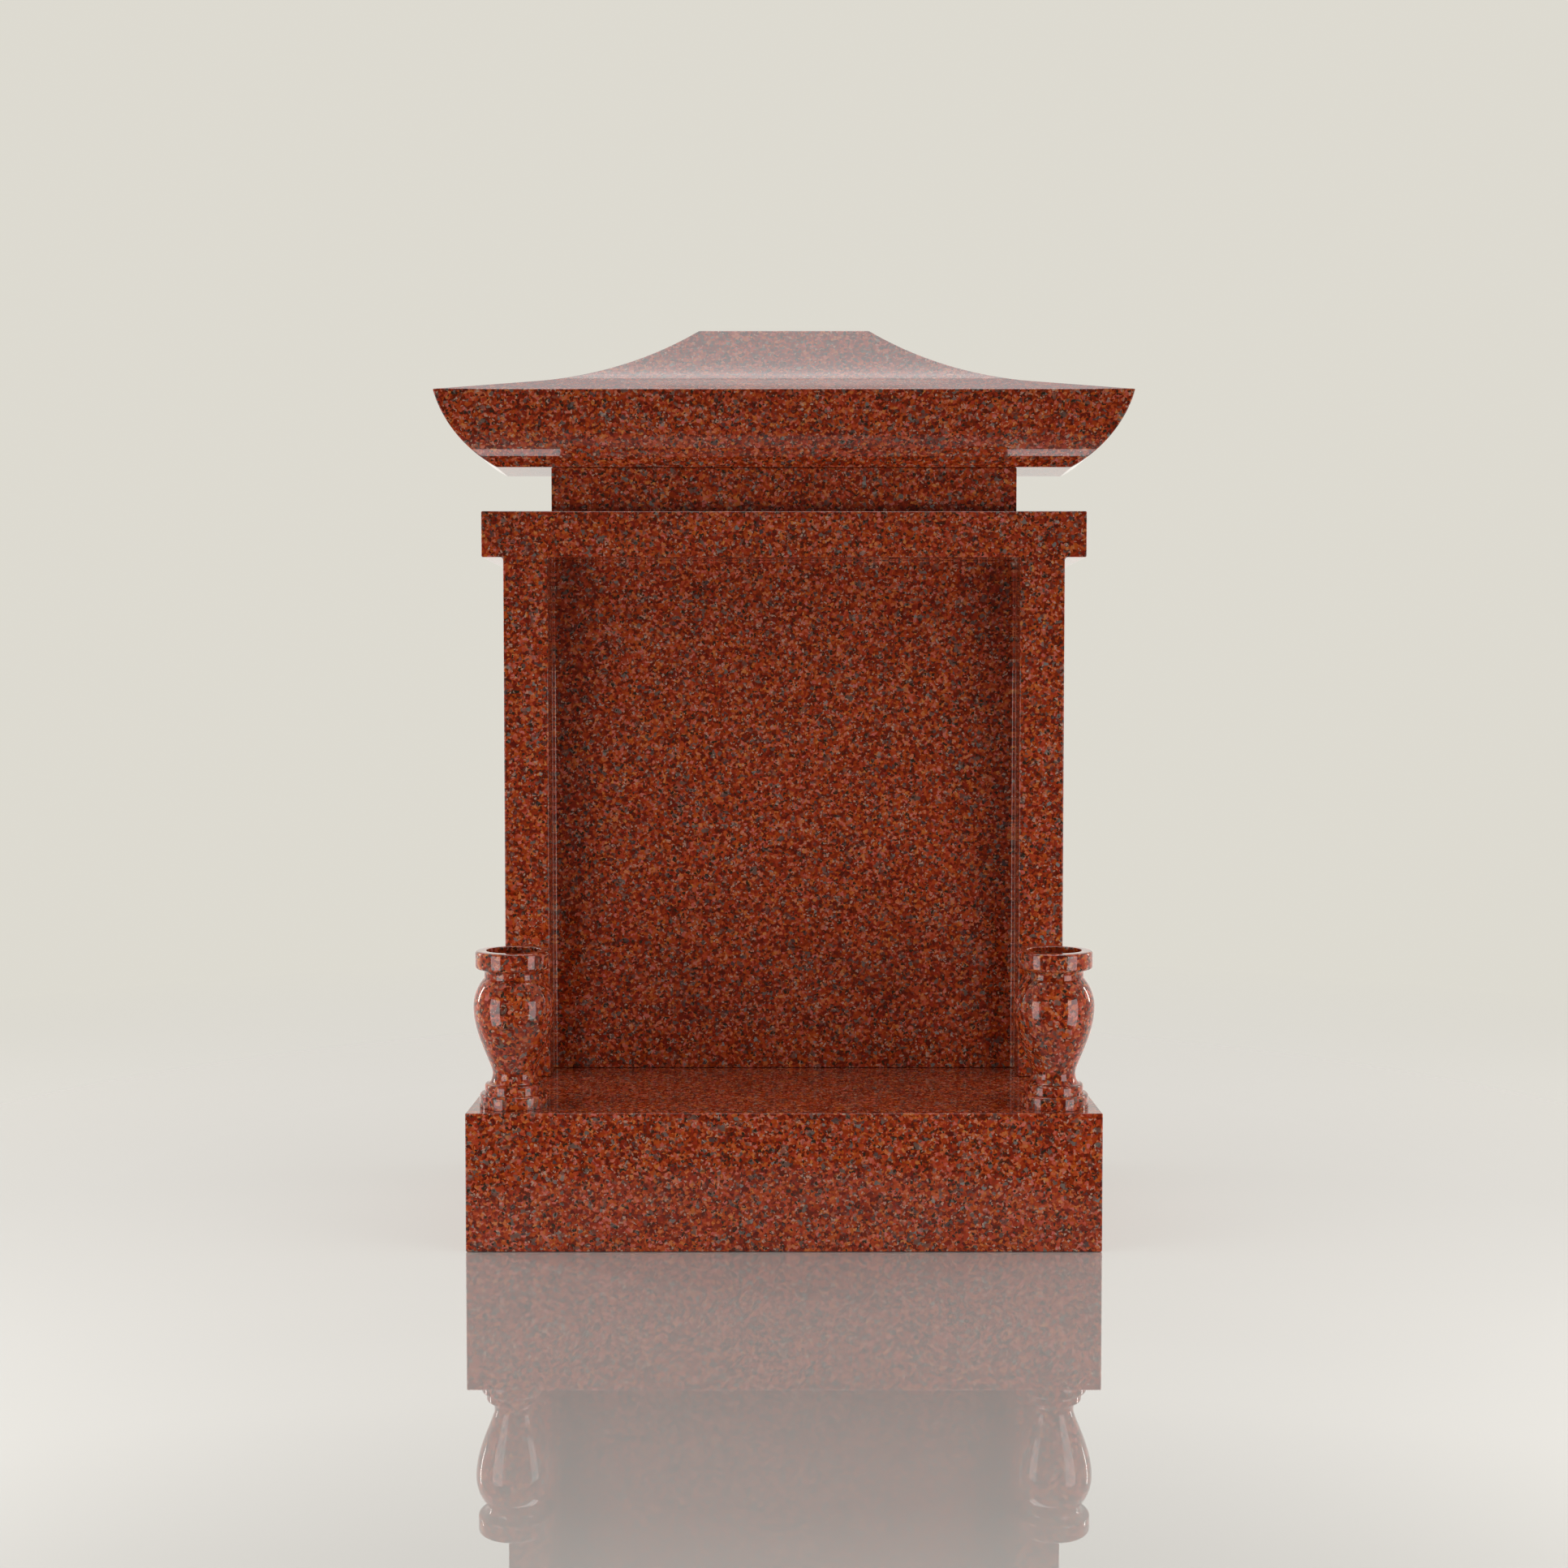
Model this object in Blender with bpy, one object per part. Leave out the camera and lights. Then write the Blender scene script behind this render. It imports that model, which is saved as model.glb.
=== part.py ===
"""Pagoda headstone in polished red granite.

Six stones stand on one another by their own weight: a plinth, a framed body with a
sunk panel, a neck block, a four-sided roof and two turned, hollow flower vases.
Metres, +Z up; the front faces -Y. The origin is the middle of the plinth's underside.
"""

import math

import bmesh
import bpy
from mathutils import Vector
from mathutils.geometry import interpolate_bezier

# Joints and polished edges
JOINT_GAP = 0.0003
BLOCK_ARRIS = 0.0015
BODY_ARRIS = 0.0020
BODY_FILLET = 0.0040
ARRIS_SEGMENTS = 2
FILLET_SEGMENTS = 4
SHARP_ANGLE = math.radians(31.0)

# Plinth
PLINTH_WIDTH = 0.800
PLINTH_HEIGHT = 0.1755
SHELF_DEPTH = 0.235
BACK_MARGIN = 0.049

# Body: two uprights, a lintel with ears, and the sunk panel between them
BODY_DEPTH = 0.186
OPENING_WIDTH = 0.644
OPENING_HEIGHT = 0.713
RECESS_DEPTH = 0.065
UPRIGHT_WIDTH = 0.061
LINTEL_HEIGHT = 0.0625
EAR_OVERHANG = 0.0295

# Neck block between the body and the roof
NECK_WIDTH = 0.6384
NECK_DEPTH = 0.102
NECK_SETBACK = 0.022
NECK_HEIGHT = 0.0616

# Roof: flat soffit, rounded underside, eave, swept slopes and flat crown
SOFFIT_OVERHANG = 0.0748
SOFFIT_REVEAL = 0.0020
EAVE_OVERHANG = 0.0757
EAVE_FRONT_OVERHANG = 0.0610
EAVE_RISE = 0.0965
UNDERSIDE_RADIUS = 0.1475
UNDERSIDE_SEGMENTS = 12
SLOPE_ANGLE = math.radians(7.1)
SLOPE_RUN = 0.132
ROOF_RISE = 0.0959
SWEEP_SEGMENTS = 12
CROWN_WIDTH = 0.235
CROWN_DEPTH = 0.031
ROOF_ARRIS = 0.0015
ROOF_SHARP_ANGLE = math.radians(15.0)

# Vases: the rises are stacked from the foot to the rim
VASE_SIDE_MARGIN = 0.0107
VASE_FRONT_MARGIN = 0.0088
VASE_FOOT_RADIUS = 0.0443
VASE_FOOT_RISE = 0.0170
VASE_STEP_RADIUS = 0.0377
VASE_STEP_RISE = 0.0125
VASE_WAIST_RADIUS = 0.0279
VASE_SCOTIA_RISE = 0.0125
VASE_BELLY_RADIUS = 0.0518
VASE_TAPER_RISE = 0.0850
VASE_NECK_RADIUS = 0.0377
VASE_SHOULDER_RISE = 0.0370
VASE_NECK_RISE = 0.0060
VASE_COVE_RISE = 0.0060
VASE_RIM_RADIUS = 0.0490
VASE_RIM_RISE = 0.0230
VASE_ROUND = 0.0035
BELLY_FULLNESS = 0.42
WAIST_FULLNESS = 0.13

# Hollow of a vase: a wide mouth, a funnel and a bore
VASE_RIM_WALL = 0.0148
VASE_LIP_ROUND = 0.0015
VASE_MOUTH_DEPTH = 0.0090
VASE_FUNNEL_DEPTH = 0.0130
VASE_NECK_WALL = 0.0117
VASE_BORE_DEPTH = 0.1150
VASE_BORE_ROUND = 0.0080
VASE_SIDES = 32
VASE_CURVE_STEPS = 8
VASE_ROUND_STEPS = 3

# Finish
GRANITE_ROUGHNESS = 0.12
FRONT_RED = (0.190, 0.044, 0.022)
SHADED_RED = (0.150, 0.032, 0.016)

# Levels and planes shared by neighbouring stones
plinth_depth = SHELF_DEPTH + BODY_DEPTH + BACK_MARGIN
plinth_front = -plinth_depth / 2
body_front = plinth_front + SHELF_DEPTH
stack_axis_y = body_front + NECK_SETBACK + NECK_DEPTH / 2
panel_y = body_front + RECESS_DEPTH
body_foot = PLINTH_HEIGHT + JOINT_GAP
lintel_foot = PLINTH_HEIGHT + OPENING_HEIGHT
lintel_top = lintel_foot + LINTEL_HEIGHT
neck_foot = lintel_top + JOINT_GAP
neck_top = lintel_top + NECK_HEIGHT
soffit_level = neck_top + JOINT_GAP


def clear_scene():
    """Remove every object of the scene."""
    for item in list(bpy.data.objects):
        bpy.data.objects.remove(item, do_unlink=True)


def granite(name, colour):
    """Polished granite: a Principled BSDF with one mean colour."""
    material = bpy.data.materials.new(name)
    material.use_nodes = True
    shader = material.node_tree.nodes["Principled BSDF"]
    shader.inputs["Base Color"].default_value = (*colour, 1.0)
    shader.inputs["Roughness"].default_value = GRANITE_ROUGHNESS
    shader.inputs["Metallic"].default_value = 0.0
    return material


def add_object(name, mesh_data, colour):
    """Close the bmesh into a named object with its own granite."""
    bmesh.ops.recalc_face_normals(mesh_data, faces=mesh_data.faces)
    mesh = bpy.data.meshes.new(name)
    mesh_data.to_mesh(mesh)
    mesh_data.free()
    mesh.materials.append(granite(name + "_granite", colour))
    stone = bpy.data.objects.new(name, mesh)
    bpy.context.scene.collection.objects.link(stone)
    return stone


def bevel_edges(stone, width):
    """Take the sharp edges off with a narrow rounded arris."""
    bevel = stone.modifiers.new("Arris", "BEVEL")
    bevel.width = width
    bevel.segments = ARRIS_SEGMENTS
    bevel.limit_method = "ANGLE"
    bevel.angle_limit = SHARP_ANGLE
    return bevel


def box_mesh(width, depth, height):
    """A box standing on its own origin, centred in X and Y."""
    mesh_data = bmesh.new()
    bmesh.ops.create_cube(mesh_data, size=1.0)
    bmesh.ops.scale(mesh_data, vec=(width, depth, height), verts=mesh_data.verts)
    bmesh.ops.translate(mesh_data, vec=(0.0, 0.0, height / 2), verts=mesh_data.verts)
    return mesh_data


def arc_points(centre, radius, start, end, steps):
    """Points on a circular arc in a plane, both ends included."""
    points = []
    for step in range(steps + 1):
        angle = start + (end - start) * step / steps
        points.append((centre[0] + radius * math.cos(angle), centre[1] + radius * math.sin(angle)))
    return points


def quarter_points(start, end, steps):
    """A quarter ellipse that leaves its start along X and meets its end along the height."""
    points = []
    for step in range(steps + 1):
        angle = math.pi / 2 * step / steps
        across = start[0] + (end[0] - start[0]) * math.sin(angle)
        up = end[1] + (start[1] - end[1]) * math.cos(angle)
        points.append((across, up))
    return points


def join_rings(mesh_data, rings):
    """Bridge rings of points one after another and close the first and the last."""
    for lower, upper in zip(rings, rings[1:]):
        for corner in range(len(lower)):
            following = (corner + 1) % len(lower)
            mesh_data.faces.new((lower[corner], lower[following], upper[following], upper[corner]))
    mesh_data.faces.new(rings[0])
    mesh_data.faces.new(rings[-1])


def make_plinth():
    """The base block that everything stands on."""
    plinth = add_object("plinth", box_mesh(PLINTH_WIDTH, plinth_depth, PLINTH_HEIGHT), FRONT_RED)
    bevel_edges(plinth, BLOCK_ARRIS)
    return plinth


def body_outline():
    """Front outline of the body: uprights below, lintel with ears above, filleted under the ears."""
    upright_x = OPENING_WIDTH / 2 + UPRIGHT_WIDTH
    ear_x = upright_x + EAR_OVERHANG
    corner = (upright_x + BODY_FILLET, lintel_foot - BODY_FILLET)
    right = [(upright_x, body_foot)]
    right += arc_points(corner, BODY_FILLET, math.pi, math.pi / 2, FILLET_SEGMENTS)
    right += [(ear_x, lintel_foot), (ear_x, lintel_top)]
    left = [(-x, z) for x, z in reversed(right)]
    return right + left


def make_recess_cutter():
    """The hollow in front of the panel, its corners rounded to the fillet radius."""
    reach = BODY_DEPTH
    height = OPENING_HEIGHT + reach
    cutter = add_object("recess_cutter", box_mesh(OPENING_WIDTH, RECESS_DEPTH + reach, height), SHADED_RED)
    cutter.location = (0.0, panel_y - (RECESS_DEPTH + reach) / 2, lintel_foot - height)
    rounding = cutter.modifiers.new("Fillet", "BEVEL")
    rounding.width = BODY_FILLET
    rounding.segments = FILLET_SEGMENTS
    rounding.limit_method = "ANGLE"
    rounding.angle_limit = SHARP_ANGLE
    cutter.hide_render = True
    cutter.display_type = "WIRE"
    return cutter


def make_body():
    """Uprights, lintel and sunk panel, cut from one block."""
    mesh_data = bmesh.new()
    front = [mesh_data.verts.new((x, body_front, z)) for x, z in body_outline()]
    face = mesh_data.faces.new(front)
    extruded = bmesh.ops.extrude_face_region(mesh_data, geom=[face])
    back = [item for item in extruded["geom"] if isinstance(item, bmesh.types.BMVert)]
    bmesh.ops.translate(mesh_data, vec=(0.0, BODY_DEPTH, 0.0), verts=back)
    body = add_object("body", mesh_data, SHADED_RED)
    recess = body.modifiers.new("Recess", "BOOLEAN")
    recess.operation = "DIFFERENCE"
    recess.solver = "EXACT"
    recess.object = make_recess_cutter()
    bevel_edges(body, BODY_ARRIS)
    return body


def make_neck():
    """The block that lifts the roof off the lintel."""
    height = neck_top - neck_foot
    neck = add_object("neck", box_mesh(NECK_WIDTH, NECK_DEPTH, height), SHADED_RED)
    neck.location = (0.0, stack_axis_y, neck_foot)
    bevel_edges(neck, BLOCK_ARRIS)
    return neck


def underside_levels():
    """Half width, half depth and height up the rounded underside, soffit to eave."""
    soffit_half_width = NECK_WIDTH / 2 + SOFFIT_OVERHANG
    soffit_half_depth = NECK_DEPTH / 2 + SOFFIT_REVEAL
    chord = math.hypot(EAVE_OVERHANG, EAVE_RISE)
    lean = math.atan2(EAVE_OVERHANG, EAVE_RISE)
    half_sweep = math.asin(chord / 2 / UNDERSIDE_RADIUS)
    levels = []
    for step in range(UNDERSIDE_SEGMENTS + 1):
        turn = lean + half_sweep - 2 * half_sweep * step / UNDERSIDE_SEGMENTS
        out = UNDERSIDE_RADIUS * (math.cos(turn) - math.cos(lean + half_sweep))
        up = UNDERSIDE_RADIUS * (math.sin(lean + half_sweep) - math.sin(turn))
        half_depth = soffit_half_depth + out * EAVE_FRONT_OVERHANG / EAVE_OVERHANG
        levels.append((soffit_half_width + out, half_depth, soffit_level + up))
    return levels


def slope_levels(eave):
    """Half width, half depth and height up the swept slopes, above the eave to the crown."""
    eave_width, eave_depth, eave_height = eave
    crown_height = eave_height + ROOF_RISE
    start = (eave_width - SLOPE_RUN, eave_height + SLOPE_RUN * math.tan(SLOPE_ANGLE))
    run = start[0] - CROWN_WIDTH / 2
    rise = crown_height - start[1]
    half_sweep = math.atan2(rise, run) - SLOPE_ANGLE
    radius = math.hypot(run, rise) / 2 / math.sin(half_sweep)
    levels = []
    for step in range(SWEEP_SEGMENTS + 1):
        turn = SLOPE_ANGLE + 2 * half_sweep * step / SWEEP_SEGMENTS
        inward = radius * (math.sin(turn) - math.sin(SLOPE_ANGLE))
        up = radius * (math.cos(SLOPE_ANGLE) - math.cos(turn))
        half_width = start[0] - inward
        share = (eave_width - half_width) / (eave_width - CROWN_WIDTH / 2)
        half_depth = eave_depth + (CROWN_DEPTH / 2 - eave_depth) * share
        levels.append((half_width, half_depth, start[1] + up))
    return levels


def make_roof():
    """The four-sided roof: one stone, its levels joined ring by ring."""
    levels = underside_levels()
    levels += slope_levels(levels[-1])
    corners = ((-1, -1), (1, -1), (1, 1), (-1, 1))
    mesh_data = bmesh.new()
    rings = []
    for half_width, half_depth, height in levels:
        places = [(side * half_width, stack_axis_y + face * half_depth, height) for side, face in corners]
        rings.append([mesh_data.verts.new(place) for place in places])
    join_rings(mesh_data, rings)
    roof = add_object("roof", mesh_data, FRONT_RED)
    bevel_edges(roof, ROOF_ARRIS).angle_limit = ROOF_SHARP_ANGLE
    return roof


def vase_levels():
    """Heights above the foot where the outline of a vase changes."""
    rises = {
        "foot": VASE_FOOT_RISE,
        "step": VASE_STEP_RISE,
        "waist": VASE_SCOTIA_RISE,
        "belly": VASE_TAPER_RISE,
        "neck": VASE_SHOULDER_RISE,
        "cove": VASE_NECK_RISE,
        "rim": VASE_COVE_RISE,
        "top": VASE_RIM_RISE,
    }
    levels = {}
    height = 0.0
    for name, rise in rises.items():
        height += rise
        levels[name] = height
    return levels


def outer_round(radius, level):
    """Quarter round that takes off the upper outer edge of a turned band."""
    centre = (radius - VASE_ROUND, level - VASE_ROUND)
    return arc_points(centre, VASE_ROUND, 0.0, math.pi / 2, VASE_ROUND_STEPS)


def taper_points(waist, belly):
    """The long taper: upright at the waist and at the belly, and nearly straight between."""
    rise = belly[1] - waist[1]
    above_waist = (waist[0], waist[1] + WAIST_FULLNESS * rise)
    below_belly = (belly[0], belly[1] - BELLY_FULLNESS * rise)
    knots = [Vector((radius, height, 0.0)) for radius, height in (waist, above_waist, below_belly, belly)]
    return [(point.x, point.y) for point in interpolate_bezier(*knots, VASE_CURVE_STEPS + 1)]


def shoulder_points(belly, neck):
    """The shoulder: a circular arc, upright at the belly, that ends on the neck."""
    run = belly[0] - neck[0]
    rise = neck[1] - belly[1]
    radius = (run * run + rise * rise) / (2 * run)
    return arc_points((belly[0] - radius, belly[1]), radius, 0.0, math.asin(rise / radius), VASE_CURVE_STEPS)


def vase_outside(levels):
    """Radius and height up the outside of a vase, from the foot to the lip."""
    waist = (VASE_WAIST_RADIUS, levels["waist"])
    belly = (VASE_BELLY_RADIUS, levels["belly"])
    neck = (VASE_NECK_RADIUS, levels["neck"])
    cove = (VASE_NECK_RADIUS, levels["cove"])
    step_edge = (VASE_STEP_RADIUS - VASE_ROUND, levels["step"])
    rim_edge = (VASE_RIM_RADIUS - VASE_ROUND, levels["rim"])
    rim_centre = (rim_edge[0], levels["rim"] + VASE_ROUND)
    profile = [(VASE_FOOT_RADIUS, 0.0)]
    profile += outer_round(VASE_FOOT_RADIUS, levels["foot"])
    profile += [(VASE_STEP_RADIUS, levels["foot"])]
    profile += outer_round(VASE_STEP_RADIUS, levels["step"])
    profile += quarter_points(step_edge, waist, VASE_ROUND_STEPS)[1:]
    profile += taper_points(waist, belly)[1:]
    profile += shoulder_points(belly, neck)[1:]
    profile += quarter_points(rim_edge, cove, VASE_ROUND_STEPS)[::-1]
    profile += arc_points(rim_centre, VASE_ROUND, -math.pi / 2, 0.0, VASE_ROUND_STEPS)[1:]
    profile += outer_round(VASE_RIM_RADIUS, levels["top"])
    return profile


def vase_inside(levels):
    """Radius and height down the inside of a vase, from the lip to the bottom of the bore."""
    top = levels["top"]
    mouth_radius = VASE_RIM_RADIUS - VASE_RIM_WALL
    bore_radius = VASE_NECK_RADIUS - VASE_NECK_WALL
    lip_centre = (mouth_radius + VASE_LIP_ROUND, top - VASE_LIP_ROUND)
    bore_centre = (bore_radius - VASE_BORE_ROUND, top - VASE_BORE_DEPTH + VASE_BORE_ROUND)
    profile = arc_points(lip_centre, VASE_LIP_ROUND, math.pi / 2, math.pi, VASE_ROUND_STEPS)
    profile += [(mouth_radius, top - VASE_MOUTH_DEPTH)]
    profile += [(bore_radius, top - VASE_MOUTH_DEPTH - VASE_FUNNEL_DEPTH)]
    profile += arc_points(bore_centre, VASE_BORE_ROUND, 0.0, -math.pi / 2, VASE_ROUND_STEPS)
    return profile


def turned_mesh(profile):
    """A solid of revolution about Z whose two ends are closed by flat discs."""
    turns = [2 * math.pi * side / VASE_SIDES for side in range(VASE_SIDES)]
    mesh_data = bmesh.new()
    rings = []
    for radius, height in profile:
        places = [(radius * math.cos(turn), radius * math.sin(turn), height) for turn in turns]
        rings.append([mesh_data.verts.new(place) for place in places])
    join_rings(mesh_data, rings)
    return mesh_data


def make_vase(name, side):
    """One turned and bored vase on a front corner of the plinth."""
    levels = vase_levels()
    profile = vase_outside(levels) + vase_inside(levels)
    vase = add_object(name, turned_mesh(profile), FRONT_RED)
    vase.data.shade_smooth()
    vase.data.set_sharp_from_angle(angle=SHARP_ANGLE)
    inset_x = VASE_SIDE_MARGIN + VASE_FOOT_RADIUS
    inset_y = VASE_FRONT_MARGIN + VASE_FOOT_RADIUS
    vase.location = (side * (PLINTH_WIDTH / 2 - inset_x), plinth_front + inset_y, PLINTH_HEIGHT + JOINT_GAP)
    return vase


def main():
    clear_scene()
    make_plinth()
    make_body()
    make_neck()
    make_roof()
    make_vase("vase_left", -1)
    make_vase("vase_right", 1)


main()
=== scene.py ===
import math

import bmesh
import bpy
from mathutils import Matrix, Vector
from mathutils.geometry import interpolate_bezier


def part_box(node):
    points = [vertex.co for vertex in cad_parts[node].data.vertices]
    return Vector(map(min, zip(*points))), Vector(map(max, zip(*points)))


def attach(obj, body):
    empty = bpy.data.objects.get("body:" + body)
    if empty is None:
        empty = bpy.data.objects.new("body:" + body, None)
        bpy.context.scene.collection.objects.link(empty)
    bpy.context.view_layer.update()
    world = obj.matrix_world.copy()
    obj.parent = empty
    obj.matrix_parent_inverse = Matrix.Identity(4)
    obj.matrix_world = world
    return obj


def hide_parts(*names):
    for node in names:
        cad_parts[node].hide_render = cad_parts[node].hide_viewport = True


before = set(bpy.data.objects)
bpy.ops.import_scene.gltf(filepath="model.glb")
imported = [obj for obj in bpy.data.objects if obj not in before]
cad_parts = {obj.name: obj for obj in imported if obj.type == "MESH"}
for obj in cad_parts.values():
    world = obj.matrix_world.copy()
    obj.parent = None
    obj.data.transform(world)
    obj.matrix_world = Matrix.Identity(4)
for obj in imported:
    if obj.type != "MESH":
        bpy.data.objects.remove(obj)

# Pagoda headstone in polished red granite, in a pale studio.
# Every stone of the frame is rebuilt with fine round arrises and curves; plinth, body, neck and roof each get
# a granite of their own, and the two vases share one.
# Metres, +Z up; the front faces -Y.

BODY = "root"

# Arrises and fillets of the cut stones
BLOCK_ARRIS = 0.0015
BODY_ARRIS = 0.0020
BODY_FILLET = 0.0040
ROOF_ARRIS = 0.0015
ARRIS_SEGMENTS = 4
FILLET_SEGMENTS = 8
BLOCK_SHARP_ANGLE = math.radians(31.0)
ROOF_SHARP_ANGLE = math.radians(15.0)

# Body
OPENING_WIDTH = 0.644
RECESS_DEPTH = 0.065
LINTEL_HEIGHT = 0.0625
EAR_OVERHANG = 0.0295

# Roof
SOFFIT_OVERHANG = 0.0748
SOFFIT_REVEAL = 0.0020
EAVE_OVERHANG = 0.0757
EAVE_FRONT_OVERHANG = 0.0610
EAVE_RISE = 0.0965
UNDERSIDE_RADIUS = 0.1475
UNDERSIDE_SEGMENTS = 40
SLOPE_ANGLE = math.radians(7.1)
SLOPE_RUN = 0.132
ROOF_RISE = 0.0959
SWEEP_SEGMENTS = 40
CROWN_WIDTH = 0.235
CROWN_DEPTH = 0.031

# Vases: the rises are stacked from the foot to the rim
FOOT_RADIUS = 0.0443
FOOT_RISE = 0.0170
STEP_RADIUS = 0.0377
STEP_RISE = 0.0125
WAIST_RADIUS = 0.0279
SCOTIA_RISE = 0.0125
BELLY_RADIUS = 0.0518
TAPER_RISE = 0.0850
NECK_RADIUS = 0.0377
SHOULDER_RISE = 0.0370
NECK_RISE = 0.0060
COVE_RISE = 0.0060
RIM_RADIUS = 0.0490
RIM_RISE = 0.0230
VASE_ROUND = 0.0035
BELLY_FULLNESS = 0.42
WAIST_FULLNESS = 0.13
RIM_WALL = 0.0148
LIP_ROUND = 0.0015
MOUTH_DEPTH = 0.0090
FUNNEL_DEPTH = 0.0130
NECK_WALL = 0.0117
BORE_DEPTH = 0.1150
BORE_ROUND = 0.0080
VASE_SIDES = 144
CURVE_STEPS = 28
ROUND_STEPS = 7

# Camera, recovered from the photograph's vanishing point
CAMERA_PLACE = (0.0, -2.588, 0.6854)
CAMERA_PITCH = math.radians(2.35)
CAMERA_LENS = 43.45
SENSOR_WIDTH = 36.0

# Granite: linear colours of the minerals and the share of the stone that each takes
GRAIN = 0.0039
VASE_GRAIN = 0.0042
FELDSPAR = (
    (0.00, (0.085, 0.010, 0.003)),
    (0.25, (0.200, 0.018, 0.004)),
    (0.50, (0.330, 0.038, 0.007)),
    (0.75, (0.440, 0.074, 0.018)),
    (1.00, (0.520, 0.170, 0.085)),
)
FELDSPAR_TINTS = (
    (0.15, (1.06, 1.16, 0.62)),
    (0.50, (1.06, 1.00, 1.00)),
    (0.85, (1.04, 0.84, 1.42)),
)
QUARTZ = (
    (0.00, (0.070, 0.040, 0.040)),
    (0.50, (0.140, 0.078, 0.058)),
    (0.88, (0.140, 0.110, 0.092)),
    (1.00, (0.230, 0.215, 0.190)),
)
MICA = (0.030, 0.019, 0.010)
PALE_FLECK = (0.450, 0.265, 0.190)
CLOUDS = (
    (0.30, (0.93, 0.93, 0.93)),
    (0.70, (1.07, 1.07, 1.07)),
)
QUARTZ_SHARE = (0.82, 0.96)
MICA_SHARE = (0.86, 0.95)
FLECK_SHARE = (0.93, 0.99)
FELDSPAR_SOFTNESS = 0.40

# Sizes of the minerals and of the drift that bends them, as shares of the grain; waves are over one grain
QUARTZ_SIZE = 1.15
MICA_SIZE = 0.70
FLECK_SIZE = 0.60
DRIFT_REACH = 1.8
DRIFT_WAVES = 0.75
DRIFT_DETAIL = 2.0
NOISE_MIDDLE = (0.5, 0.5, 0.5)
CLOUD_WAVES = 0.10
CLOUD_DETAIL = 3.0

# Polish: gloss, and the faint unevenness of a ground face
POLISH_WAVES = 0.5
POLISH_DETAIL = 4.0
POLISH_STRENGTH = 0.2
POLISH_DEPTH = 0.00004
STONE_ROUGHNESS = 0.035
MICA_ROUGHNESS = 0.11
STONE_IOR = 1.54

# A granite's place in the endless pattern, so that no two stones look alike
VASE_PATTERN = (0.35, 0.10, 0.20)
PLINTH_PATTERN = (0.0, 0.0, 0.0)
BODY_PATTERN = (1.7, 0.3, 0.9)
NECK_PATTERN = (3.1, 1.3, 0.2)
ROOF_PATTERN = (0.4, 2.6, 1.5)

# Studio: linear colours of what is seen, of what lights and of what the polished faces mirror
BACKDROP = (0.725, 0.703, 0.635)
DOME_FRONT = (0.12, 0.12, 0.12, 1.0)
DOME_SIDES = (1.35, 1.33, 1.30, 1.0)
DOME_BACK = (0.45, 0.44, 0.43, 1.0)
ROOM_FRONT = (0.05, 0.05, 0.05, 1.0)
ROOM_SIDES = (0.40, 0.39, 0.38, 1.0)
ROOM_BACK = (1.10, 1.07, 1.00, 1.0)
CEILING_STRENGTH = 5.0
CEILING = (
    (0.200, (0.98, 0.96, 0.95)),
    (0.650, (1.00, 0.98, 0.97)),
    (0.705, (0.76, 0.74, 0.73)),
    (0.760, (0.62, 0.61, 0.60)),
    (0.768, (0.40, 0.39, 0.38)),
    (0.835, (0.30, 0.29, 0.29)),
    (0.890, (0.21, 0.20, 0.20)),
    (1.000, (0.18, 0.17, 0.17)),
)

# Where the parts of the studio begin and end, as X, Y or Z of a direction
DOME_SIDES_FROM_FRONT = (-0.45, -0.30)
DOME_BACK_FROM_SIDES = (0.0, 0.20)
ROOM_BACK_FROM_SIDES = (0.10, 0.45)
ROOM_FRONT_FROM_SIDES = (-0.25, -0.60)
CEILING_LOW_EDGE = (0.42, 0.58)
CEILING_SIDE_EDGE = (0.30, 0.21)
CEILING_FRONT_EDGE = (-0.06, 0.0)
FIRST_MIRROR = (1.6, 1.4)

# Light cards: place, point faced, width, height and strength; those with an X stand on both sides
CEILING_CARD_PLACE = (0.0, -0.165, 1.45)
CEILING_CARD_FACES = (0.0, -0.165, 0.0)
CEILING_CARD_SIZE = (0.96, 0.57)
CEILING_CARD_STRENGTH = 4.95
CEILING_CARD_COLOUR = (1.0, 0.98, 0.97)
WINDOW_PLACE = (1.40, -1.15, 0.165)
WINDOW_FACES = (0.30, -0.17, 0.165)
WINDOW_SIZE = (0.78, 1.23)
WINDOW_STRENGTH = 3.3
EAVE_CARD_PLACE = (0.488, -0.092, 0.42)
EAVE_CARD_FACES = (0.488, -0.092, 1.0)
EAVE_CARD_SIZE = (0.224, 0.122)
EAVE_CARD_STRENGTH = 3.5
LOW_BOX_PLACE = (1.28, -1.08, 0.34)
LOW_BOX_FACES = (0.0, 0.0, 0.45)
LOW_BOX_SIZE = (0.90, 0.60)
LOW_BOX_STRENGTH = 4.55
STRIP_PLACE = (2.2, 0.62, 0.75)
STRIP_FACES = (0.3, -0.1, 0.4)
STRIP_SIZE = (0.16, 0.8)
STRIP_STRENGTH = 14.9
STRIP_COLOUR = (1.0, 0.96, 0.90)
WHITE = (1.0, 1.0, 1.0)

# Floor: how it looks, how strongly it mirrors from steep to shallow, and where it fades out
FLOOR = (0.56, 0.55, 0.53)
FLOOR_SIDES = 96
FLOOR_IOR = 1.5
FLOOR_SLANT = (0.04, 0.17)
FLOOR_MIRROR_STEEP = 0.03
FLOOR_MIRROR_SHALLOW = 0.45
FLOOR_ROUGHNESS = 0.0
FLOOR_RADIUS = 3.2
FLOOR_GAP = 0.0005
FLOOR_FADE = (1.0, 2.6)
FLOOR_MIRRORED_FADE = (0.62, 0.70)


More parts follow.
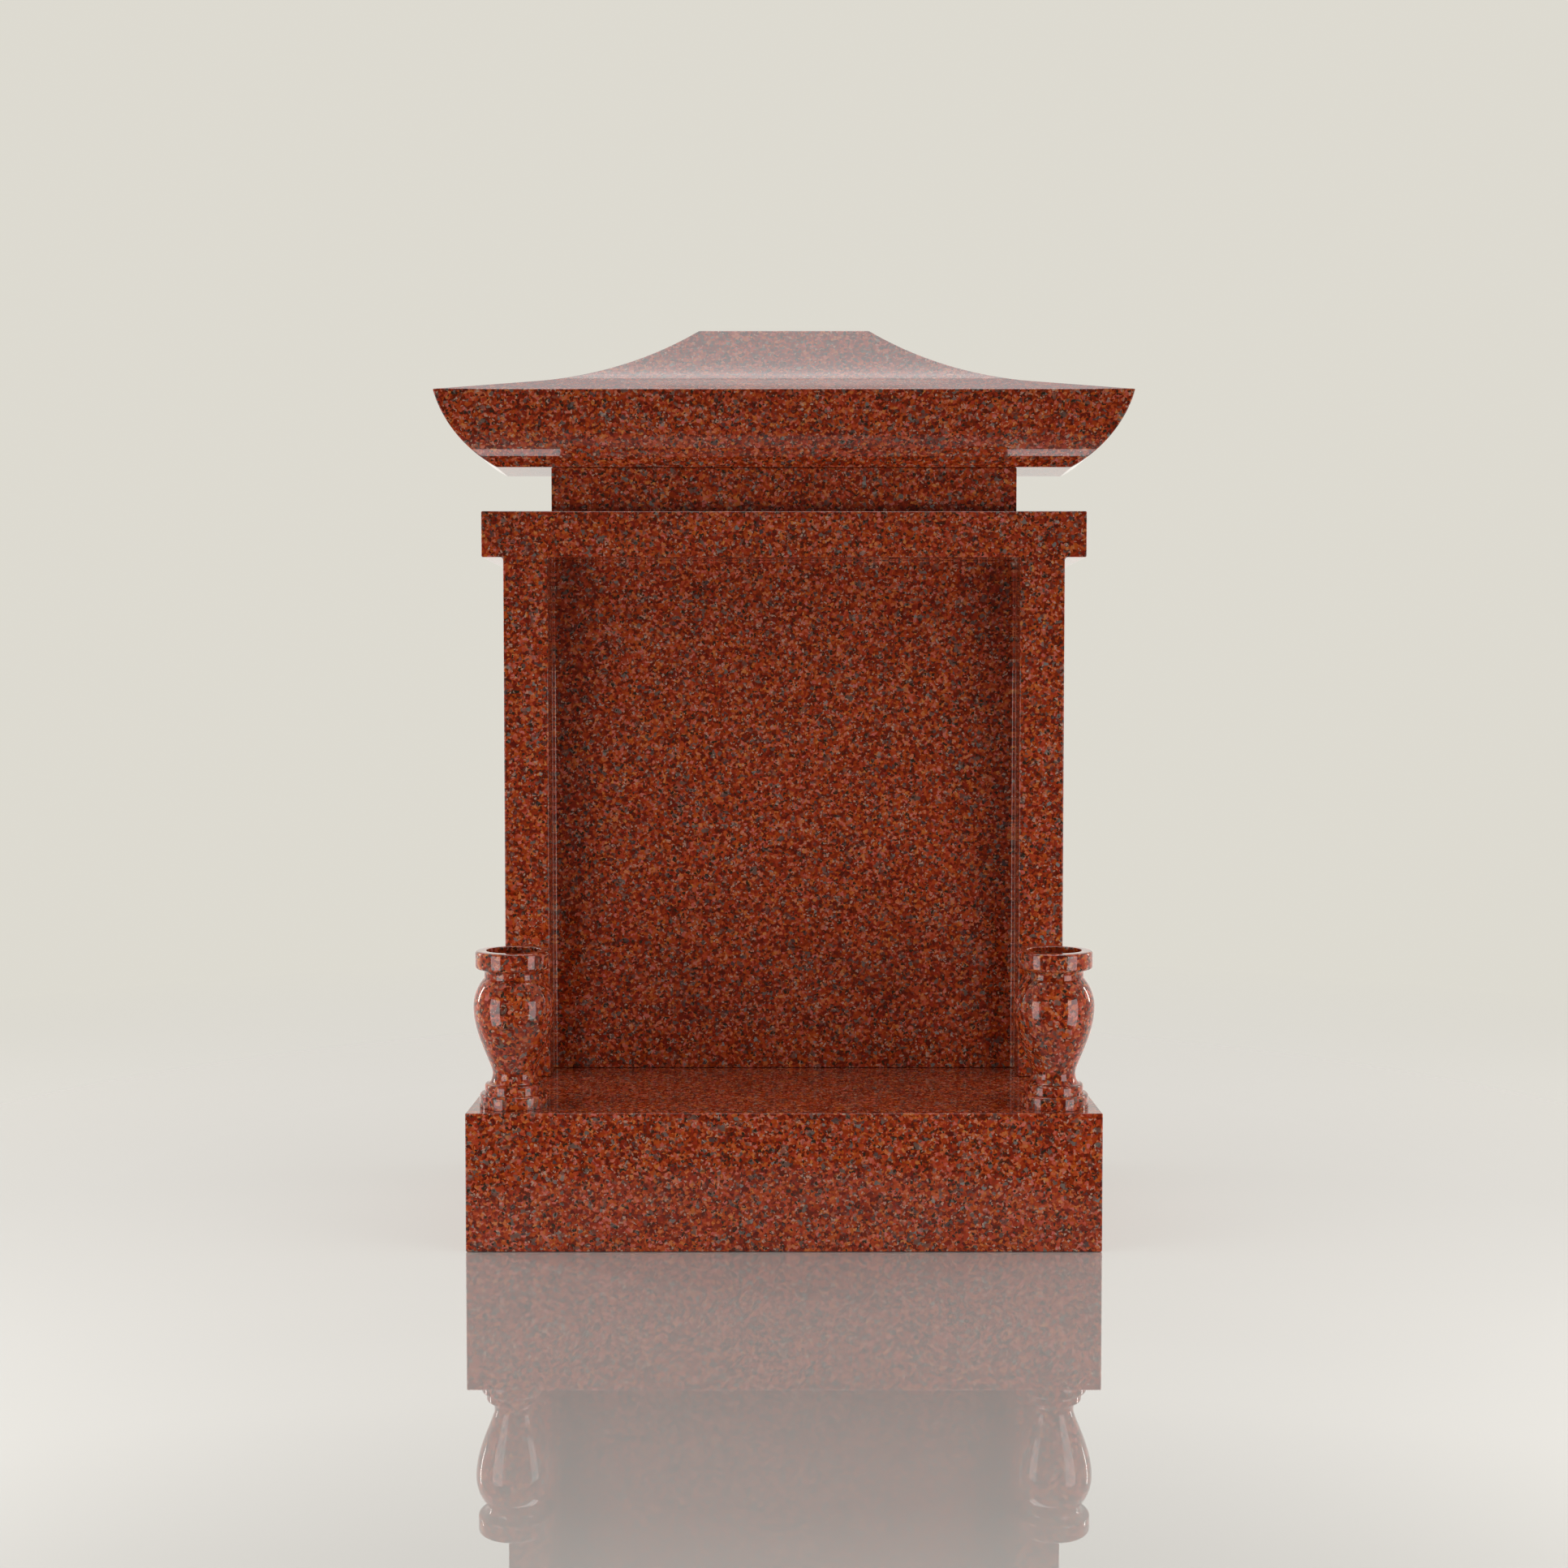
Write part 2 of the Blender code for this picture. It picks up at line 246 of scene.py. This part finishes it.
def place_camera():
    """The camera stands where the photograph's camera stood."""
    data = bpy.data.cameras.new("photo_camera")
    data.lens = CAMERA_LENS
    data.sensor_width = SENSOR_WIDTH
    camera = bpy.data.objects.new("photo_camera", data)
    camera.location = CAMERA_PLACE
    camera.rotation_euler = (math.pi / 2 - CAMERA_PITCH, 0.0, 0.0)
    bpy.context.scene.collection.objects.link(camera)
    bpy.context.scene.camera = camera


def add_stone(name, mesh_data, place=(0.0, 0.0, 0.0)):
    """Close the bmesh into a smooth-shaded object whose origin stays at the frame's origin."""
    bmesh.ops.translate(mesh_data, vec=place, verts=mesh_data.verts)
    bmesh.ops.recalc_face_normals(mesh_data, faces=mesh_data.faces)
    mesh = bpy.data.meshes.new(name)
    mesh_data.to_mesh(mesh)
    mesh_data.free()
    mesh.shade_smooth()
    stone = bpy.data.objects.new(name, mesh)
    bpy.context.scene.collection.objects.link(stone)
    return stone


def round_edges(stone, width, segments, sharp_angle):
    """Round the sharp edges of a stone."""
    bevel = stone.modifiers.new("Arris", "BEVEL")
    bevel.width = width
    bevel.segments = segments
    bevel.limit_method = "ANGLE"
    bevel.angle_limit = sharp_angle


def settle(stone):
    """Turn a stone's modifiers into its mesh, and let its large faces rule the shading."""
    bpy.context.view_layer.update()
    evaluated = stone.evaluated_get(bpy.context.evaluated_depsgraph_get())
    mesh = bpy.data.meshes.new_from_object(evaluated)
    stone.modifiers.clear()
    stone.data = mesh
    mesh.shade_smooth()
    shading = stone.modifiers.new("Shading", "WEIGHTED_NORMAL")
    shading.mode = "FACE_AREA"
    shading.weight = 100
    return stone


def block_mesh(low, high):
    """A block between two corners."""
    mesh_data = bmesh.new()
    bmesh.ops.create_cube(mesh_data, size=1.0)
    bmesh.ops.scale(mesh_data, vec=high - low, verts=mesh_data.verts)
    bmesh.ops.translate(mesh_data, vec=(low + high) / 2, verts=mesh_data.verts)
    return mesh_data


def arc_points(centre, radius, start, end, steps):
    """Points on a circular arc in a plane, both ends included."""
    points = []
    for step in range(steps + 1):
        angle = start + (end - start) * step / steps
        points.append((centre[0] + radius * math.cos(angle), centre[1] + radius * math.sin(angle)))
    return points


def quarter_points(start, end, steps):
    """A quarter ellipse that leaves its start along X and meets its end along the height."""
    points = []
    for step in range(steps + 1):
        angle = math.pi / 2 * step / steps
        across = start[0] + (end[0] - start[0]) * math.sin(angle)
        up = end[1] + (start[1] - end[1]) * math.cos(angle)
        points.append((across, up))
    return points


def join_rings(mesh_data, rings):
    """Bridge rings of points one after another and close the first and the last."""
    for lower, upper in zip(rings, rings[1:]):
        for corner in range(len(lower)):
            following = (corner + 1) % len(lower)
            mesh_data.faces.new((lower[corner], lower[following], upper[following], upper[corner]))
    mesh_data.faces.new(rings[0])
    mesh_data.faces.new(rings[-1])


def make_block(name, node):
    """A sawn and polished block in the place of its node."""
    stone = add_stone(name, block_mesh(*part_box(node)))
    round_edges(stone, BLOCK_ARRIS, ARRIS_SEGMENTS, BLOCK_SHARP_ANGLE)
    return settle(stone)


def body_outline(low, high, lintel_foot):
    """Front outline of the body: uprights below, lintel with ears above, filleted under the ears."""
    upright_x = high.x - EAR_OVERHANG
    corner = (upright_x + BODY_FILLET, lintel_foot - BODY_FILLET)
    right = [(upright_x, low.z)]
    right += arc_points(corner, BODY_FILLET, math.pi, math.pi / 2, FILLET_SEGMENTS)
    right += [(high.x, lintel_foot), (high.x, high.z)]
    left = [(-x, z) for x, z in reversed(right)]
    return right + left


def make_recess_cutter(low, high, lintel_foot):
    """The hollow in front of the panel, its corners rounded to the fillet radius."""
    reach = high.y - low.y
    bottom = Vector((-OPENING_WIDTH / 2, low.y - reach, low.z - reach))
    top = Vector((OPENING_WIDTH / 2, low.y + RECESS_DEPTH, lintel_foot))
    cutter = add_stone("recess_cutter", block_mesh(bottom, top))
    round_edges(cutter, BODY_FILLET, FILLET_SEGMENTS, BLOCK_SHARP_ANGLE)
    return cutter


def make_body():
    """Uprights, lintel and sunk panel, cut from one block."""
    low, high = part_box("body")
    lintel_foot = high.z - LINTEL_HEIGHT
    mesh_data = bmesh.new()
    front = [mesh_data.verts.new((x, low.y, z)) for x, z in body_outline(low, high, lintel_foot)]
    face = mesh_data.faces.new(front)
    extruded = bmesh.ops.extrude_face_region(mesh_data, geom=[face])
    back = [item for item in extruded["geom"] if isinstance(item, bmesh.types.BMVert)]
    bmesh.ops.translate(mesh_data, vec=(0.0, high.y - low.y, 0.0), verts=back)
    body = add_stone("body_stone", mesh_data)
    cutter = make_recess_cutter(low, high, lintel_foot)
    recess = body.modifiers.new("Recess", "BOOLEAN")
    recess.operation = "DIFFERENCE"
    recess.solver = "EXACT"
    recess.object = cutter
    round_edges(body, BODY_ARRIS, ARRIS_SEGMENTS, BLOCK_SHARP_ANGLE)
    settle(body)
    bpy.data.objects.remove(cutter)
    return body


def underside_levels(neck_low, neck_high, soffit_level):
    """Half width, half depth and height up the rounded underside, soffit to eave."""
    soffit_half_width = (neck_high.x - neck_low.x) / 2 + SOFFIT_OVERHANG
    soffit_half_depth = (neck_high.y - neck_low.y) / 2 + SOFFIT_REVEAL
    chord = math.hypot(EAVE_OVERHANG, EAVE_RISE)
    lean = math.atan2(EAVE_OVERHANG, EAVE_RISE)
    half_sweep = math.asin(chord / 2 / UNDERSIDE_RADIUS)
    levels = []
    for step in range(UNDERSIDE_SEGMENTS + 1):
        turn = lean + half_sweep - 2 * half_sweep * step / UNDERSIDE_SEGMENTS
        out = UNDERSIDE_RADIUS * (math.cos(turn) - math.cos(lean + half_sweep))
        up = UNDERSIDE_RADIUS * (math.sin(lean + half_sweep) - math.sin(turn))
        half_depth = soffit_half_depth + out * EAVE_FRONT_OVERHANG / EAVE_OVERHANG
        levels.append((soffit_half_width + out, half_depth, soffit_level + up))
    return levels


def slope_levels(eave):
    """Half width, half depth and height up the swept slopes, above the eave to the crown."""
    eave_width, eave_depth, eave_height = eave
    crown_height = eave_height + ROOF_RISE
    start = (eave_width - SLOPE_RUN, eave_height + SLOPE_RUN * math.tan(SLOPE_ANGLE))
    run = start[0] - CROWN_WIDTH / 2
    rise = crown_height - start[1]
    half_sweep = math.atan2(rise, run) - SLOPE_ANGLE
    radius = math.hypot(run, rise) / 2 / math.sin(half_sweep)
    levels = []
    for step in range(SWEEP_SEGMENTS + 1):
        turn = SLOPE_ANGLE + 2 * half_sweep * step / SWEEP_SEGMENTS
        inward = radius * (math.sin(turn) - math.sin(SLOPE_ANGLE))
        up = radius * (math.cos(SLOPE_ANGLE) - math.cos(turn))
        half_width = start[0] - inward
        share = (eave_width - half_width) / (eave_width - CROWN_WIDTH / 2)
        half_depth = eave_depth + (CROWN_DEPTH / 2 - eave_depth) * share
        levels.append((half_width, half_depth, start[1] + up))
    return levels


def make_roof():
    """The four-sided roof: one stone, its levels joined ring by ring."""
    neck_low, neck_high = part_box("neck")
    axis_y = (neck_low.y + neck_high.y) / 2
    levels = underside_levels(neck_low, neck_high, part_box("roof")[0].z)
    levels += slope_levels(levels[-1])
    corners = ((-1, -1), (1, -1), (1, 1), (-1, 1))
    mesh_data = bmesh.new()
    rings = []
    for half_width, half_depth, height in levels:
        places = [(side * half_width, axis_y + face * half_depth, height) for side, face in corners]
        rings.append([mesh_data.verts.new(place) for place in places])
    join_rings(mesh_data, rings)
    roof = add_stone("roof_stone", mesh_data)
    round_edges(roof, ROOF_ARRIS, ARRIS_SEGMENTS, ROOF_SHARP_ANGLE)
    return settle(roof)


def vase_levels():
    """Heights above the foot where the outline of a vase changes."""
    rises = {
        "foot": FOOT_RISE,
        "step": STEP_RISE,
        "waist": SCOTIA_RISE,
        "belly": TAPER_RISE,
        "neck": SHOULDER_RISE,
        "cove": NECK_RISE,
        "rim": COVE_RISE,
        "top": RIM_RISE,
    }
    levels = {}
    height = 0.0
    for name, rise in rises.items():
        height += rise
        levels[name] = height
    return levels


def outer_round(radius, level):
    """Quarter round that takes off the upper outer edge of a turned band."""
    centre = (radius - VASE_ROUND, level - VASE_ROUND)
    return arc_points(centre, VASE_ROUND, 0.0, math.pi / 2, ROUND_STEPS)


def taper_points(waist, belly):
    """The long taper: upright at the waist and at the belly, and nearly straight between."""
    rise = belly[1] - waist[1]
    above_waist = (waist[0], waist[1] + WAIST_FULLNESS * rise)
    below_belly = (belly[0], belly[1] - BELLY_FULLNESS * rise)
    knots = [Vector((radius, height, 0.0)) for radius, height in (waist, above_waist, below_belly, belly)]
    return [(point.x, point.y) for point in interpolate_bezier(*knots, CURVE_STEPS + 1)]


def shoulder_points(belly, neck):
    """The shoulder: a circular arc, upright at the belly, that ends on the neck."""
    run = belly[0] - neck[0]
    rise = neck[1] - belly[1]
    radius = (run * run + rise * rise) / (2 * run)
    return arc_points((belly[0] - radius, belly[1]), radius, 0.0, math.asin(rise / radius), CURVE_STEPS)


def vase_outside(levels):
    """Radius and height up the outside of a vase, from the foot to the lip."""
    waist = (WAIST_RADIUS, levels["waist"])
    belly = (BELLY_RADIUS, levels["belly"])
    neck = (NECK_RADIUS, levels["neck"])
    cove = (NECK_RADIUS, levels["cove"])
    step_edge = (STEP_RADIUS - VASE_ROUND, levels["step"])
    rim_edge = (RIM_RADIUS - VASE_ROUND, levels["rim"])
    rim_centre = (rim_edge[0], levels["rim"] + VASE_ROUND)
    profile = [(FOOT_RADIUS, 0.0)]
    profile += outer_round(FOOT_RADIUS, levels["foot"])
    profile += [(STEP_RADIUS, levels["foot"])]
    profile += outer_round(STEP_RADIUS, levels["step"])
    profile += quarter_points(step_edge, waist, ROUND_STEPS)[1:]
    profile += taper_points(waist, belly)[1:]
    profile += shoulder_points(belly, neck)[1:]
    profile += quarter_points(rim_edge, cove, ROUND_STEPS)[::-1]
    profile += arc_points(rim_centre, VASE_ROUND, -math.pi / 2, 0.0, ROUND_STEPS)[1:]
    profile += outer_round(RIM_RADIUS, levels["top"])
    return profile


def vase_inside(levels):
    """Radius and height down the inside of a vase, from the lip to the bottom of the bore."""
    top = levels["top"]
    mouth_radius = RIM_RADIUS - RIM_WALL
    bore_radius = NECK_RADIUS - NECK_WALL
    lip_centre = (mouth_radius + LIP_ROUND, top - LIP_ROUND)
    bore_centre = (bore_radius - BORE_ROUND, top - BORE_DEPTH + BORE_ROUND)
    profile = arc_points(lip_centre, LIP_ROUND, math.pi / 2, math.pi, ROUND_STEPS)
    profile += [(mouth_radius, top - MOUTH_DEPTH)]
    profile += [(bore_radius, top - MOUTH_DEPTH - FUNNEL_DEPTH)]
    profile += arc_points(bore_centre, BORE_ROUND, 0.0, -math.pi / 2, ROUND_STEPS)
    return profile


def make_vase(name, node):
    """One turned and bored vase, on the axis and at the foot of its node."""
    low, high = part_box(node)
    levels = vase_levels()
    turns = [2 * math.pi * side / VASE_SIDES for side in range(VASE_SIDES)]
    mesh_data = bmesh.new()
    rings = []
    for radius, height in vase_outside(levels) + vase_inside(levels):
        places = [(radius * math.cos(turn), radius * math.sin(turn), height) for turn in turns]
        rings.append([mesh_data.verts.new(place) for place in places])
    join_rings(mesh_data, rings)
    vase = add_stone(name, mesh_data, ((low.x + high.x) / 2, (low.y + high.y) / 2, low.z))
    vase.data.set_sharp_from_angle(angle=BLOCK_SHARP_ANGLE)
    return vase


class Wiring:
    """A small helper that adds shader nodes to one node tree and joins them."""

    def __init__(self, tree):
        self.tree = tree

    def node(self, kind, inputs=(), **settings):
        """Add a node, set its properties and set or join its inputs."""
        node = self.tree.nodes.new(kind)
        for key, value in settings.items():
            setattr(node, key, value)
        for socket, value in dict(inputs).items():
            if isinstance(value, bpy.types.NodeSocket):
                self.tree.links.new(value, node.inputs[socket])
            else:
                node.inputs[socket].default_value = value
        return node

    def ramp(self, factor, stops, interpolation="LINEAR"):
        """A colour ramp with the given (position, colour) stops."""
        node = self.node("ShaderNodeValToRGB", {"Fac": factor})
        node.color_ramp.interpolation = interpolation
        elements = node.color_ramp.elements
        while len(elements) < len(stops):
            elements.new(1.0)
        for element, (position, colour) in zip(elements, stops):
            element.position = position
            element.color = (*colour, 1.0)
        return node.outputs["Color"]

    def step_mask(self, factor, start, end):
        """0 below start, 1 above end, and even between them."""
        node = self.node("ShaderNodeMapRange", {"Value": factor, "From Min": start, "From Max": end})
        return node.outputs["Result"]

    def noise(self, coordinates, scale, detail):
        """A noise texture."""
        return self.node("ShaderNodeTexNoise", {"Vector": coordinates, "Scale": scale, "Detail": detail})

    def calculate(self, operation, first, second=0.0):
        """A math node's result."""
        return self.node("ShaderNodeMath", {0: first, 1: second}, operation=operation).outputs["Value"]

    def blend_shaders(self, factor, first, second):
        """Mix two shaders."""
        return self.node("ShaderNodeMixShader", {0: factor, 1: first, 2: second}).outputs["Shader"]

    def mix(self, factor, first, second, blend="MIX"):
        """Mix two colours."""
        node = self.node("ShaderNodeMix", {"Factor": factor}, data_type="RGBA", blend_type=blend)
        for index, value in ((6, first), (7, second)):
            if isinstance(value, bpy.types.NodeSocket):
                self.tree.links.new(value, node.inputs[index])
            else:
                node.inputs[index].default_value = value
        return node.outputs[2]

    def cells(self, coordinates, size, smooth=0.0):
        """Random values, one for each cell of about that size: three sockets."""
        inputs = {"Vector": coordinates, "Scale": 1.0 / size}
        settings = {"feature": "F1"}
        if smooth:
            settings = {"feature": "SMOOTH_F1"}
            inputs["Smoothness"] = smooth
        voronoi = self.node("ShaderNodeTexVoronoi", inputs, **settings)
        split = self.node("ShaderNodeSeparateColor", {"Color": voronoi.outputs["Color"]})
        return split.outputs[0], split.outputs[1], split.outputs[2]


def granite(name, offset, grain):
    """Polished red granite: feldspar, quartz and mica grains about that size, in metres."""
    material = bpy.data.materials.new(name)
    material.use_nodes = True
    material.node_tree.nodes.clear()
    wiring = Wiring(material.node_tree)
    place = wiring.node("ShaderNodeTexCoord").outputs["Object"]
    place = wiring.node("ShaderNodeMapping", {"Vector": place, "Location": offset}).outputs["Vector"]
    drift = wiring.noise(place, DRIFT_WAVES / grain, DRIFT_DETAIL).outputs["Color"]
    drift = wiring.node("ShaderNodeVectorMath", {0: drift, 1: NOISE_MIDDLE},
                        operation="SUBTRACT").outputs["Vector"]
    drift = wiring.node("ShaderNodeVectorMath", {0: drift, "Scale": DRIFT_REACH * grain},
                        operation="SCALE").outputs["Vector"]
    bent = wiring.node("ShaderNodeVectorMath", {0: place, 1: drift}, operation="ADD").outputs["Vector"]

    red_share, tint_share, _ = wiring.cells(bent, grain, smooth=FELDSPAR_SOFTNESS)
    feldspar = wiring.ramp(red_share, FELDSPAR)
    feldspar = wiring.mix(1.0, feldspar, wiring.ramp(tint_share, FELDSPAR_TINTS), blend="MULTIPLY")
    quartz_share, quartz_tint, _ = wiring.cells(bent, QUARTZ_SIZE * grain)
    mica_share, _, _ = wiring.cells(bent, MICA_SIZE * grain)
    fleck_share, _, _ = wiring.cells(bent, FLECK_SIZE * grain)
    is_quartz = wiring.step_mask(quartz_share, *QUARTZ_SHARE)
    is_mica = wiring.step_mask(mica_share, *MICA_SHARE)
    is_fleck = wiring.step_mask(fleck_share, *FLECK_SHARE)
    colour = wiring.mix(is_quartz, feldspar, wiring.ramp(quartz_tint, QUARTZ))
    colour = wiring.mix(is_mica, colour, (*MICA, 1.0))
    colour = wiring.mix(is_fleck, colour, (*PALE_FLECK, 1.0))
    cloud = wiring.noise(place, CLOUD_WAVES / grain, CLOUD_DETAIL).outputs["Fac"]
    colour = wiring.mix(1.0, colour, wiring.ramp(cloud, CLOUDS), blend="MULTIPLY")

    roughness = wiring.node("ShaderNodeMapRange", {
        "Value": is_mica,
        "To Min": STONE_ROUGHNESS,
        "To Max": MICA_ROUGHNESS,
    })
    bump = wiring.node("ShaderNodeBump", {
        "Height": wiring.noise(place, POLISH_WAVES / grain, POLISH_DETAIL).outputs["Fac"],
        "Strength": POLISH_STRENGTH,
        "Distance": POLISH_DEPTH,
    })
    shader = wiring.node("ShaderNodeBsdfPrincipled", {
        "Base Color": colour,
        "Roughness": roughness.outputs["Result"],
        "IOR": STONE_IOR,
        "Normal": bump.outputs["Normal"],
    })
    wiring.node("ShaderNodeOutputMaterial", {"Surface": shader.outputs["BSDF"]})
    return material


def emission(name, colour, strength):
    """A glowing material for the front of a light card; clear from behind and to the floor's mirror."""
    material = bpy.data.materials.new(name)
    material.use_nodes = True
    material.node_tree.nodes.clear()
    wiring = Wiring(material.node_tree)
    glow = wiring.node("ShaderNodeEmission", {"Color": (*colour, 1.0), "Strength": strength})
    clear = wiring.node("ShaderNodeBsdfTransparent")
    is_back = wiring.node("ShaderNodeNewGeometry").outputs["Backfacing"]
    is_sharp = wiring.node("ShaderNodeLightPath").outputs["Is Singular Ray"]
    is_clear = wiring.calculate("MAXIMUM", is_back, is_sharp)
    card = wiring.blend_shaders(is_clear, glow.outputs["Emission"], clear.outputs["BSDF"])
    wiring.node("ShaderNodeOutputMaterial", {"Surface": card})
    return material


def light_card(name, place, facing, size, strength, colour=WHITE, lights_stone=False,
               is_mirrored=True, receivers=None):
    """A one-sided softbox that lights, is mirrored or both, in everything or in its receivers only."""
    mesh_data = bmesh.new()
    bmesh.ops.create_grid(mesh_data, x_segments=1, y_segments=1, size=0.5)
    bmesh.ops.scale(mesh_data, vec=(*size, 1.0), verts=mesh_data.verts)
    mesh = bpy.data.meshes.new(name)
    mesh_data.to_mesh(mesh)
    mesh_data.free()
    mesh.materials.append(emission(name, colour, strength))
    card = bpy.data.objects.new(name, mesh)
    card.location = place
    card.rotation_euler = (Vector(facing) - Vector(place)).to_track_quat("Z", "Y").to_euler()
    card.visible_camera = False
    card.visible_diffuse = lights_stone
    card.visible_glossy = is_mirrored
    card.visible_shadow = False
    card.light_linking.receiver_collection = receivers
    bpy.context.scene.collection.objects.link(card)


def make_world():
    """Pale surroundings: an even backdrop to look at, a dome that lights, and a room to be mirrored."""
    world = bpy.data.worlds.new("studio")
    bpy.context.scene.world = world
    world.use_nodes = True
    world.node_tree.nodes.clear()
    wiring = Wiring(world.node_tree)
    direction = wiring.node("ShaderNodeTexCoord").outputs["Generated"]
    split = wiring.node("ShaderNodeSeparateXYZ", {"Vector": direction})
    forward = split.outputs["Y"]
    upward = split.outputs["Z"]
    sideways = wiring.calculate("ABSOLUTE", split.outputs["X"])
    ceiling_share = wiring.node("ShaderNodeMapRange", {"Value": forward, "From Min": -1.0, "From Max": 1.0})
    ceiling = wiring.ramp(ceiling_share.outputs["Result"], CEILING)
    ceiling = wiring.mix(1.0, ceiling, (CEILING_STRENGTH,) * 3 + (1.0,), blend="MULTIPLY")
    walls = wiring.mix(wiring.step_mask(forward, *ROOM_BACK_FROM_SIDES), ROOM_SIDES, ROOM_BACK)
    walls = wiring.mix(wiring.step_mask(forward, *ROOM_FRONT_FROM_SIDES), walls, ROOM_FRONT)
    over_roof = wiring.calculate("MULTIPLY", wiring.step_mask(upward, *CEILING_LOW_EDGE),
                                 wiring.step_mask(sideways, *CEILING_SIDE_EDGE))
    over_roof = wiring.calculate("MULTIPLY", over_roof, wiring.step_mask(forward, *CEILING_FRONT_EDGE))
    room = wiring.mix(over_roof, walls, ceiling)
    dome = wiring.mix(wiring.step_mask(forward, *DOME_SIDES_FROM_FRONT), DOME_FRONT, DOME_SIDES)
    dome = wiring.mix(wiring.step_mask(forward, *DOME_BACK_FROM_SIDES), dome, DOME_BACK)
    path = wiring.node("ShaderNodeLightPath")
    in_floor = wiring.calculate("MULTIPLY", path.outputs["Is Singular Ray"],
                                wiring.step_mask(path.outputs["Glossy Depth"], *FIRST_MIRROR))
    room = wiring.mix(in_floor, room, ROOM_BACK)
    colour = wiring.mix(path.outputs["Is Glossy Ray"], dome, room)
    colour = wiring.mix(path.outputs["Is Camera Ray"], colour, (*BACKDROP, 1.0))
    background = wiring.node("ShaderNodeBackground", {"Color": colour, "Strength": 1.0})
    wiring.node("ShaderNodeOutputWorld", {"Surface": background.outputs["Background"]})


def make_floor():
    """A pale floor that fades out into the backdrop; its mirror is sharper than any stone's."""
    mesh_data = bmesh.new()
    bmesh.ops.create_circle(mesh_data, cap_ends=True, segments=FLOOR_SIDES, radius=FLOOR_RADIUS)
    mesh = bpy.data.meshes.new("floor")
    mesh_data.to_mesh(mesh)
    mesh_data.free()
    floor = bpy.data.objects.new("floor", mesh)
    floor.location.z = -FLOOR_GAP
    bpy.context.scene.collection.objects.link(floor)
    material = bpy.data.materials.new("floor")
    material.use_nodes = True
    material.node_tree.nodes.clear()
    wiring = Wiring(material.node_tree)
    place = wiring.node("ShaderNodeTexCoord").outputs["Object"]
    distance = wiring.node("ShaderNodeVectorMath", {0: place}, operation="LENGTH").outputs["Value"]
    seen_fade = wiring.step_mask(distance, *FLOOR_FADE)
    mirrored_fade = wiring.step_mask(distance, *FLOOR_MIRRORED_FADE)
    path = wiring.node("ShaderNodeLightPath")
    fade = wiring.node("ShaderNodeMix", {
        "Factor": path.outputs["Is Glossy Ray"],
        2: seen_fade,
        3: mirrored_fade,
    }).outputs[0]
    matt = wiring.node("ShaderNodeBsdfDiffuse", {"Color": (*FLOOR, 1.0)})
    mirror = wiring.node("ShaderNodeBsdfGlossy", {"Color": (*WHITE, 1.0), "Roughness": FLOOR_ROUGHNESS})
    slant = wiring.node("ShaderNodeFresnel", {"IOR": FLOOR_IOR}).outputs["Fac"]
    shine = wiring.node("ShaderNodeMapRange", {
        "Value": slant,
        "From Min": FLOOR_SLANT[0],
        "From Max": FLOOR_SLANT[1],
        "To Min": FLOOR_MIRROR_STEEP,
        "To Max": FLOOR_MIRROR_SHALLOW,
    }).outputs["Result"]
    polished = wiring.blend_shaders(shine, matt.outputs["BSDF"], mirror.outputs["BSDF"])
    clear = wiring.node("ShaderNodeBsdfTransparent")
    faded = wiring.blend_shaders(fade, polished, clear.outputs["BSDF"])
    wiring.node("ShaderNodeOutputMaterial", {"Surface": faded})
    mesh.materials.append(material)


def on_side(place, side):
    """The place, or its mirror image on the left."""
    return (side * place[0], place[1], place[2])


def light_studio(roof):
    """A ceiling, two windows in front, and at either side a low softbox, a strip and a bar under the eave."""
    roof_only = bpy.data.collections.new("roof_only")
    roof_only.objects.link(roof)
    light_card("ceiling_card", CEILING_CARD_PLACE, CEILING_CARD_FACES, CEILING_CARD_SIZE,
               CEILING_CARD_STRENGTH, CEILING_CARD_COLOUR)
    for side in (-1, 1):
        light_card("window_card", on_side(WINDOW_PLACE, side), on_side(WINDOW_FACES, side), WINDOW_SIZE,
                   WINDOW_STRENGTH)
        light_card("eave_card", on_side(EAVE_CARD_PLACE, side), on_side(EAVE_CARD_FACES, side),
                   EAVE_CARD_SIZE, EAVE_CARD_STRENGTH, receivers=roof_only)
        light_card("low_box", on_side(LOW_BOX_PLACE, side), LOW_BOX_FACES, LOW_BOX_SIZE,
                   LOW_BOX_STRENGTH, lights_stone=True, is_mirrored=False)
        light_card("side_strip", on_side(STRIP_PLACE, side), on_side(STRIP_FACES, side), STRIP_SIZE,
                   STRIP_STRENGTH, STRIP_COLOUR, lights_stone=True)


def dress(piece, node):
    """Set a piece in the frame: it rides on the body and stands for its node."""
    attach(piece, BODY)
    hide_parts(node)


def main():
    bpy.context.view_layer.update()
    place_camera()
    vase_granite = granite("polished_vase", VASE_PATTERN, VASE_GRAIN)
    plinth = make_block("plinth_stone", "plinth")
    body = make_body()
    neck = make_block("neck_stone", "neck")
    roof = make_roof()
    stones = (
        (plinth, "plinth", granite("polished_plinth", PLINTH_PATTERN, GRAIN)),
        (body, "body", granite("polished_body", BODY_PATTERN, GRAIN)),
        (neck, "neck", granite("polished_neck", NECK_PATTERN, GRAIN)),
        (roof, "roof", granite("polished_roof", ROOF_PATTERN, GRAIN)),
        (make_vase("vase_left_stone", "vase_left"), "vase_left", vase_granite),
        (make_vase("vase_right_stone", "vase_right"), "vase_right", vase_granite),
    )
    for piece, node, material in stones:
        piece.data.materials.clear()
        piece.data.materials.append(material)
        dress(piece, node)
    make_world()
    make_floor()
    light_studio(roof)
    bpy.context.scene.view_settings.view_transform = "Standard"


main()
